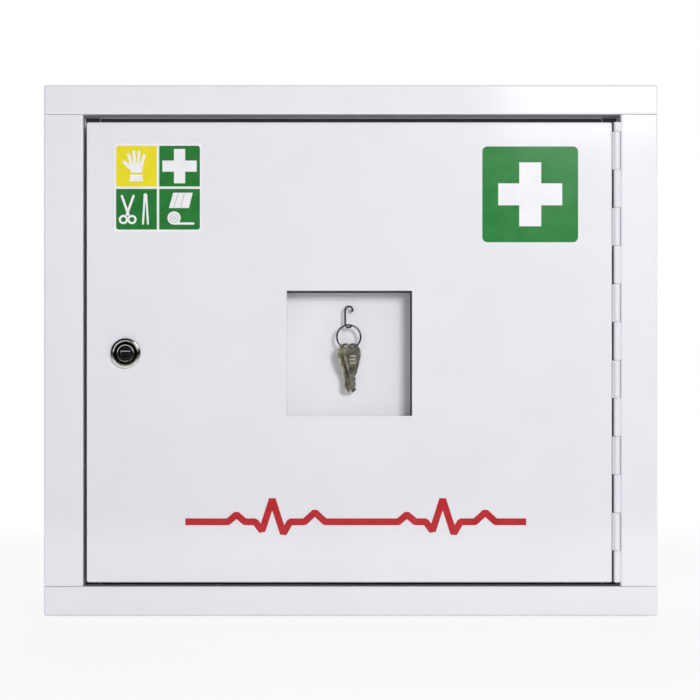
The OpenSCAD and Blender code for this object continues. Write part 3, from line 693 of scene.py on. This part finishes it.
# The slots' floors are satin
FLOOR_DEPTH = 0.75 * MM
SATIN_HALF = 3.8 * MM
SATIN_LOW = -11.5 * MM
SATIN_HIGH = -4 * MM
for key, node in ((left_key, "left_key"), (right_key, "right_key")):
    dress(key, node, "key_nickel", key_nickel, key_satin)
    upright = KEY_PLACES[node].inverted()
    for face in key.data.polygons:
        at = upright @ face.center
        is_floor = abs(at.y) < FLOOR_DEPTH and abs(at.x) < SATIN_HALF
        face.material_index = is_floor and SATIN_LOW < at.z < SATIN_HIGH
    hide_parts(node)

# Sign, contents label and pulse line: printed film on the door

LABEL_FACE = FRONT - 0.2 * MM
INK_ROOT = LABEL_FACE + 0.08 * MM
FILM = 0.015 * MM
SIGN_ARM = 17.5 * MM
SIGN_SPAN = 51 * MM
FIELD_ARM = 8.9 * MM
FIELD_SPAN = 27.4 * MM

# Printed layers, and how far up a shape stands that cuts through them
FIELDS = 1
SYMBOLS = 2
DETAILS = 3
PAST_SYMBOLS = 6
PAST_DETAILS = 8


def inked(layer):
    """Depth range of a printed layer, counted up from the label's face."""
    return INK_ROOT, LABEL_FACE - layer * FILM


def ink_bar(a, b, width, layer, ends=True):
    """Parts of a straight stroke from a to b, both (x, z) in metres."""
    back, front = inked(layer)
    a, b = Vector(a), Vector(b)
    along = b - a
    middle = (a + b) / 2
    parts = [bar((middle.x, (back + front) / 2, middle.y), (along.length, back - front, width),
                 math.atan2(-along.y, along.x))]
    if ends:
        parts += [ink_disc(a, width / 2, layer), ink_disc(b, width / 2, layer)]
    return parts


def ink_disc(at, radius, layer):
    """A round dot at (x, z) in metres."""
    back, front = inked(layer)
    bpy.ops.mesh.primitive_cylinder_add(vertices=28, radius=radius, depth=back - front,
                                        location=(at[0], (back + front) / 2, at[1]),
                                        rotation=(math.radians(90), 0, 0))
    return bpy.context.object


def ink_plate(corners, layer):
    """A flat printed field through its corners, each (x, z) in metres."""
    back, front = inked(layer)
    field = line_through([Vector((x, back, z)) for x, z in corners])
    bpy.ops.mesh.select_all(action="SELECT")
    bpy.ops.mesh.edge_face_add()
    bpy.ops.mesh.extrude_region_move(TRANSFORM_OT_translate={"value": (0, front - back, 0)})
    bpy.ops.mesh.select_all(action="SELECT")
    bpy.ops.mesh.normals_make_consistent(inside=False)
    bpy.ops.object.mode_set(mode="OBJECT")
    return field


def ink_cross(middle, arm, span, layer, name):
    """A cross, drawn out of its middle square on all four sides."""
    back, front = inked(layer)
    centre = Vector((middle[0], (back + front) / 2, middle[1]))
    cross = settle(bar(centre, (arm, back - front, arm)), name)
    bpy.ops.object.mode_set(mode="EDIT")
    reach = (span - arm) / 2
    for way in ((1, 0, 0), (-1, 0, 0), (0, 0, 1), (0, 0, -1)):
        way = Vector(way)
        side = centre + way * arm / 2
        choose(cross, "FACE", lambda at, out: out.dot(way) > ALIGNED and (at - side).length < 0.1 * MM)
        bpy.ops.mesh.extrude_region_move(TRANSFORM_OT_translate={"value": way * reach})
    bpy.ops.object.mode_set(mode="OBJECT")
    return cross


sign = copy_of("first_aid_sign", "sign_plate")
soften(sign, 0.08, 40)
dress(sign, "door", "sign_green", sign_green)
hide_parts("first_aid_sign")
sign_low, sign_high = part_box("first_aid_sign")
sign_middle = ((sign_low.x + sign_high.x) / 2, (sign_low.z + sign_high.z) / 2)
dress(ink_cross(sign_middle, SIGN_ARM, SIGN_SPAN, FIELDS, "sign_cross"), "door", None, label_white)

pulse = copy_of("pulse_line", "pulse_line_print")
soften(pulse, 0.06, 40)
dress(pulse, "door", "marking_red", marking_red)
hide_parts("pulse_line")

label = copy_of("contents_label", "contents_label_film")
soften(label, 0.08, 40)
dress(label, "door", None, label_white)
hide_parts("contents_label")

label_low, label_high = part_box("contents_label")
FIELD = 32.5 * MM
FIELD_GAP = 1.9 * MM
FIELD_CORNER = 2 * MM
label_x = (label_low.x + label_high.x) / 2
label_z = (label_low.z + label_high.z) / 2
half_step = (FIELD + FIELD_GAP) / 2
FIELD_AT = {
    "glove": (label_x - half_step, label_z + half_step),
    "cross": (label_x + half_step, label_z + half_step),
    "tools": (label_x - half_step, label_z - half_step),
    "bandage": (label_x + half_step, label_z - half_step),
}
for name, (x, z) in FIELD_AT.items():
    back, front = inked(FIELDS)
    field = bar((x, (back + front) / 2, z), (FIELD, back - front, FIELD))
    settle(field, name + "_field")
    bpy.ops.object.mode_set(mode="EDIT")
    choose(field, "EDGE", lambda at, edge: abs(at.x - label_x) > FIELD and abs(at.z - label_z) > FIELD)
    bpy.ops.mesh.bevel(offset=FIELD_CORNER, segments=6, affect="EDGES")
    bpy.ops.object.mode_set(mode="OBJECT")
    smooth(field)
    if name == "glove":
        dress(field, "door", "label_yellow", label_yellow)
    else:
        dress(field, "door", None, label_green)


def in_field(name, *points):
    """Places (x, z) given in millimetres from the middle of a field."""
    x, z = FIELD_AT[name]
    return [Vector((x + a * MM, z + b * MM)) for a, b in points]


def stroke(name, start, end, width, layer=SYMBOLS, ends=True):
    """Parts of a stroke in a field, with its width in millimetres as well."""
    a, b = in_field(name, start, end)
    return ink_bar(a, b, width * MM, layer, ends)


# Glove: a palm, four fingers, a thumb and a cuff
parts = [ink_plate(in_field("glove", (-4.6, -5.2), (4.4, -5.2), (5.4, 2.2), (-5, 2.2)), SYMBOLS)]
for root, tip, width in (((-3.9, 0.5), (-6.3, 9.2), 2.3), ((-1.4, 1), (-2.2, 11.6), 2.4),
                         ((1.3, 1), (2.1, 11.2), 2.4), ((3.9, 0.5), (6.2, 8.4), 2.2),
                         ((-3.2, -3), (-9.8, 3.2), 2.7)):
    parts += stroke("glove", root, tip, width)
parts.append(ink_plate(in_field("glove", (-5.6, -12.2), (5.4, -12.2), (4.8, -6.6), (-5, -6.6)), SYMBOLS))
dress(fuse(parts, "glove_print"), "door", None, label_white)

cross = ink_cross(FIELD_AT["cross"], FIELD_ARM, FIELD_SPAN, SYMBOLS, "cross_print")
dress(cross, "door", None, label_white)

# Scissors with two ringed handles
BLADE_W = 1.9
HANDLE_R = 3.7 * MM
HANDLE_HOLE_R = 2 * MM
parts = []
for tip, foot in (((-11.6, 10.5), (-6.4, -4.2)), ((-2.4, 10.5), (-7.6, -4.2))):
    parts += stroke("tools", tip, foot, BLADE_W)
handles = in_field("tools", (-10.4, -8.2), (-3.6, -8.2))
parts += [ink_disc(at, HANDLE_R, SYMBOLS) for at in handles]
scissors = fuse(parts, "scissors_print")
cut_away(scissors, [ink_disc(at, HANDLE_HOLE_R, PAST_SYMBOLS) for at in handles])
dress(scissors, "door", None, label_white)

# Tweezers: two legs that meet in a broader head
LEG_W = 1.6
HEAD_W = 3
parts = []
for tip, root in (((5.2, -11.5), (6.4, 8)), ((9.2, -11.5), (8, 8))):
    parts += stroke("tools", tip, root, LEG_W)
parts += stroke("tools", (7.2, 7), (7.2, 11.2), HEAD_W)
dress(fuse(parts, "tweezers_print"), "door", None, label_white)

# A folded compress
FOLD_LINE_W = 0.55
compress = ink_plate(in_field("bandage", (-8.5, 1), (7.5, 1), (10.5, 13.2), (-5, 13.2)), SYMBOLS)
dress(settle(compress, "compress_print"), "door", None, label_white)
parts = []
for low, high in (((-4.5, 1.6), (-1.2, 12.6)), ((0.8, 1.6), (3.9, 12.6))):
    parts += stroke("bandage", low, high, FOLD_LINE_W, DETAILS, ends=False)
dress(fuse(parts, "compress_folds"), "door", None, print_grey)

# A bandage roll with its loose end, and two rings for its turns
ROLL_R = 5.3 * MM
LOOSE_END_W = 1.8
roll = in_field("bandage", (-4.4, -7))[0]
parts = [ink_disc(roll, ROLL_R, SYMBOLS)] + stroke("bandage", (-4.4, -11.4), (11, -11.4), LOOSE_END_W)
dress(fuse(parts, "roll_print"), "door", None, label_white)
for name, outer, inner in (("roll_turns", 3.6, 3), ("roll_core", 1.5, 0.9)):
    ring = settle(ink_disc(roll, outer * MM, DETAILS), name)
    cut_away(ring, [ink_disc(roll, inner * MM, PAST_DETAILS)])
    dress(ring, "door", None, print_grey)


# Camera, lights, floor and room

camera_data = bpy.data.cameras.new("camera")
camera = bpy.data.objects.new("camera", camera_data)
bpy.context.collection.objects.link(camera)
bpy.context.scene.camera = camera

VIEW_WIDTH = 558.6 * MM
VIEW_MIDDLE = Vector((-0.6 * MM, 0, 212.3 * MM))
VIEW_DISTANCE = 1400 * MM
EYE_LEFT = 42 * MM
EYE_BELOW = 59 * MM
camera.location = (VIEW_MIDDLE.x - EYE_LEFT, FRONT - VIEW_DISTANCE, VIEW_MIDDLE.z - EYE_BELOW)
camera.rotation_euler = (math.radians(90), 0, 0)
camera_data.sensor_width = 36
camera_data.lens = 36 * VIEW_DISTANCE / VIEW_WIDTH
camera_data.shift_x = EYE_LEFT / VIEW_WIDTH
camera_data.shift_y = EYE_BELOW / VIEW_WIDTH


def softbox(name, place, aim, width, height, watts):
    """A rectangular lamp at a place, aimed at another."""
    bpy.ops.object.light_add(type="AREA", location=place)
    lamp = bpy.context.object
    lamp.name = name
    lamp.data.shape = "RECTANGLE"
    lamp.data.size = width
    lamp.data.size_y = height
    lamp.data.energy = watts
    lamp.rotation_euler = (Vector(aim) - Vector(place)).to_track_quat("-Z", "Y").to_euler()
    return lamp


# The key and the fill light the front
FRONT_AIM = (0.02, -0.1, 0.23)
key_light = softbox("key_light", (0.6, -2.0, 0.68), FRONT_AIM, 0.5, 0.45, 25)
key_light.visible_glossy = False
fill_light = softbox("fill_light", (-0.6, -1.9, 0.32), (0, -0.1, 0.1), 1.6, 0.6, 4)
fill_light.visible_glossy = False

# Narrow lights behind the front's plane, for the back, the sides and the top
REAR_AIM = (0, 0.05, 0.3)
for name, place, watts in (
    ("back_light", (0, 1.5, 2.0), 3.0),
    ("left_light", (-1.9, 0.75, 0.75), 1.5),
    ("right_light", (1.9, 0.75, 0.75), 1.5),
):
    lamp = softbox(name, place, REAR_AIM, 1.2, 0.8, watts)
    lamp.data.spread = math.radians(60)
    lamp.visible_glossy = False

# The glare box is only mirrored in the front
glare_box = softbox("glare_box", (0.72, -2.0, 1.045), FRONT_AIM, 0.8, 0.7, 4.15)
glare_box.visible_diffuse = False

bpy.ops.mesh.primitive_circle_add(vertices=96, radius=6, fill_type="NGON", location=(0, 0, -0.0006))
floor = settle(bpy.context.object, "floor")


def white_to_the_eye(material):
    """Adds the nodes that mix in a plain white, for the camera and for what metal and glass show."""
    tree = material.node_tree
    path = tree.nodes.new("ShaderNodeLightPath")
    seen = tree.nodes.new("ShaderNodeMath")
    seen.operation = "MAXIMUM"
    tree.links.new(path.outputs["Is Camera Ray"], seen.inputs[0])
    tree.links.new(path.outputs["Is Glossy Ray"], seen.inputs[1])
    both = tree.nodes.new("ShaderNodeMath")
    both.operation = "MAXIMUM"
    tree.links.new(seen.outputs[0], both.inputs[0])
    tree.links.new(path.outputs["Is Transmission Ray"], both.inputs[1])
    amount = tree.nodes.new("ShaderNodeMath")
    amount.operation = "MULTIPLY"
    amount.inputs[1].default_value = 1
    tree.links.new(both.outputs[0], amount.inputs[0])
    glow = tree.nodes.new("ShaderNodeEmission")
    glow.inputs["Strength"].default_value = 1
    mix = tree.nodes.new("ShaderNodeMixShader")
    tree.links.new(amount.outputs[0], mix.inputs["Fac"])
    return glow, mix, amount


# The floor keeps a part of its shading near the object, and fades to white further off
SHADED_WITHIN = 0.35
WHITE_FROM = 1.4
WHITE_NEAR = 0.85
floor_finish = Finish("floor", (0.9, 0.9, 0.9), 0.8, specular=0.0)
floor_finish.rough_between(floor_finish.grain(4, 2), 0.75, 0.85)
glow, mix, amount = white_to_the_eye(floor_finish.material)
reach = floor_finish.add("ShaderNodeVectorMath", operation="LENGTH")
floor_finish.link(floor_finish.place, reach.inputs[0])
fade = floor_finish.add("ShaderNodeMapRange", interpolation_type="SMOOTHSTEP")
fade.inputs["From Min"].default_value = SHADED_WITHIN
fade.inputs["From Max"].default_value = WHITE_FROM
fade.inputs["To Min"].default_value = WHITE_NEAR
fade.inputs["To Max"].default_value = 1
floor_finish.link(reach.outputs["Value"], fade.inputs["Value"])
floor_finish.link(fade.outputs["Result"], amount.inputs[1])
floor_finish.link(floor_finish.shader.outputs["BSDF"], mix.inputs[1])
floor_finish.link(glow.outputs["Emission"], mix.inputs[2])
floor_finish.link(mix.outputs["Shader"], floor_finish.tree.nodes["Material Output"].inputs["Surface"])
floor.data.materials.append(floor_finish.material)

# Dark cloth before, beside and over the object and on the floor's far part, which only metal and gloss show

CLOTH_MIDDLE = (0, -1.3, 1.83)
CLOTH_SIZE = (7, 4.6, 3.65)
CLOTH_ON_FLOOR = 2.55
CLOTH_FRONT = CLOTH_MIDDLE[1] - CLOTH_SIZE[1] / 2
CLOTH_FOOT = CLOTH_MIDDLE[2] - CLOTH_SIZE[2] / 2
CLOSE_BY = 0.1
bpy.ops.mesh.primitive_cube_add(size=1, location=CLOTH_MIDDLE, scale=CLOTH_SIZE)
cloth = settle(bpy.context.object, "dark_cloth")
bpy.ops.object.mode_set(mode="EDIT")
choose(cloth, "FACE", lambda at, out: out.y > ALIGNED or out.z < -ALIGNED)
bpy.ops.mesh.delete(type="FACE")
choose(cloth, "EDGE", lambda at, edge: at.y < CLOTH_FRONT + CLOSE_BY and at.z < CLOTH_FOOT + CLOSE_BY)
bpy.ops.mesh.extrude_region_move(TRANSFORM_OT_translate={"value": (0, CLOTH_ON_FLOOR, 0)})
bpy.ops.object.mode_set(mode="OBJECT")
cloth_finish = Finish("dark_cloth", (0.02, 0.02, 0.02), 0.9, specular=0.1)
cloth_finish.colour_between(cloth_finish.grain(6, 2), (0.015, 0.015, 0.015), (0.025, 0.025, 0.025))
cloth.data.materials.append(cloth_finish.material)
cloth.visible_camera = False
cloth.visible_diffuse = False
cloth.visible_transmission = False
cloth.visible_shadow = False

ROOM_LEVEL = 0.235
room = bpy.data.worlds.new("room")
bpy.context.scene.world = room
room.use_nodes = True
dim = room.node_tree.nodes["Background"]
dim.inputs["Color"].default_value = (1, 1, 1, 1)
dim.inputs["Strength"].default_value = ROOM_LEVEL
bright, room_mix, _ = white_to_the_eye(room)
room.node_tree.links.new(dim.outputs["Background"], room_mix.inputs[1])
room.node_tree.links.new(bright.outputs["Emission"], room_mix.inputs[2])
room.node_tree.links.new(room_mix.outputs["Shader"], room.node_tree.nodes["World Output"].inputs["Surface"])

bpy.context.scene.view_settings.view_transform = "Standard"
